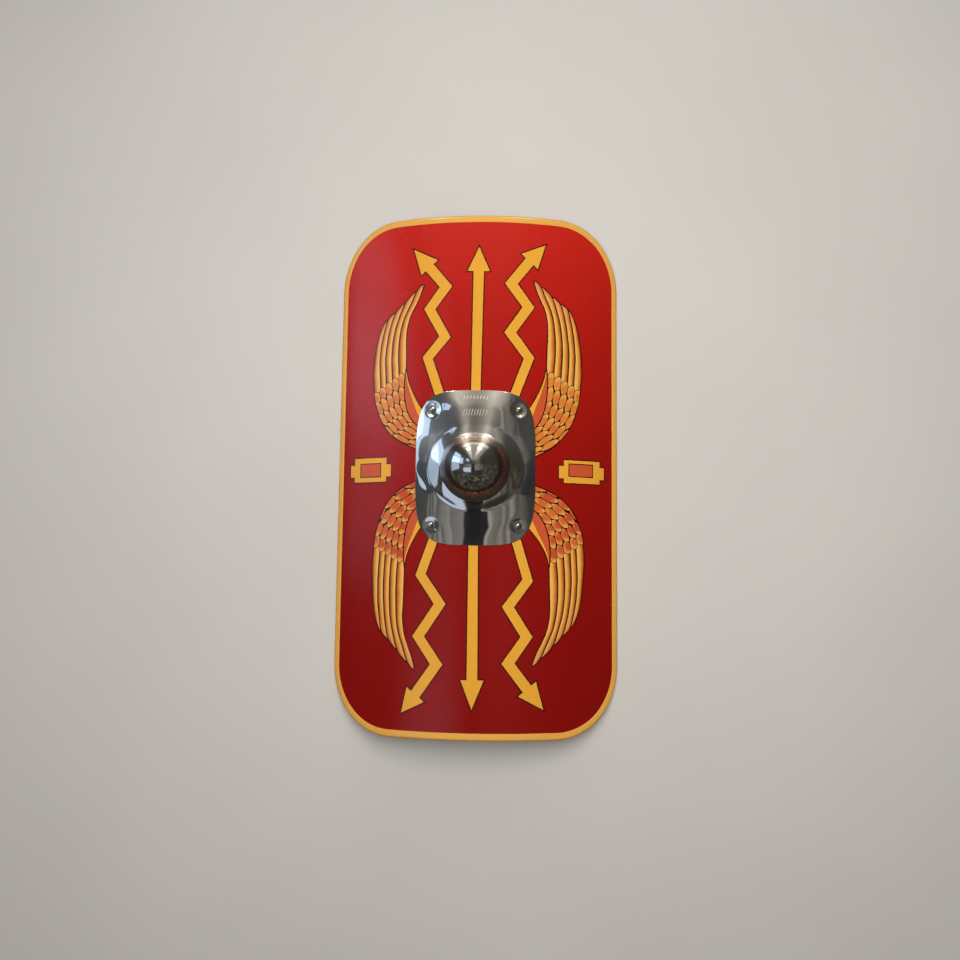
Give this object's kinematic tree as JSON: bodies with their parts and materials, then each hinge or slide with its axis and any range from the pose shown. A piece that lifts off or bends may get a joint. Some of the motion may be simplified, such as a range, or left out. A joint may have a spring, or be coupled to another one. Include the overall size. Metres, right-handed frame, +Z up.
{
  "type": "roman scutum shield",
  "caption": "Bent rectangular legionary shield with rounded corners, channel edging, a domed steel boss and a wooden hand grip, painted with wings and arrows",
  "frame": {"origin": "On the ground under the middle of the shield, which lies on its two long edges with the painted face up", "axes": "+Z is up, out of the painted face; +Y points to the top of the shield; X runs across it"},
  "size_m": [0.5776, 1.05, 0.1635],
  "materials": {
    "board_paint": "satin red paint over bent plywood",
    "edging_paint": "satin yellow paint over sheet metal",
    "boss_steel": "polished, hand finished",
    "rivet_steel": "polished",
    "grip_wood": "oiled",
    "screw_steel": "plain steel"
  },
  "bodies": {
    "root": {"board": "board_paint", "edging": "edging_paint", "boss": "boss_steel", "boss_rivet_top_left": "rivet_steel", "boss_rivet_top_right": "rivet_steel", "boss_rivet_bottom_left": "rivet_steel", "boss_rivet_bottom_right": "rivet_steel", "grip": "grip_wood", "grip_screw_top_left": "screw_steel", "grip_screw_top_right": "screw_steel", "grip_screw_bottom_left": "screw_steel", "grip_screw_bottom_right": "screw_steel"}
  },
  "joints": []
}
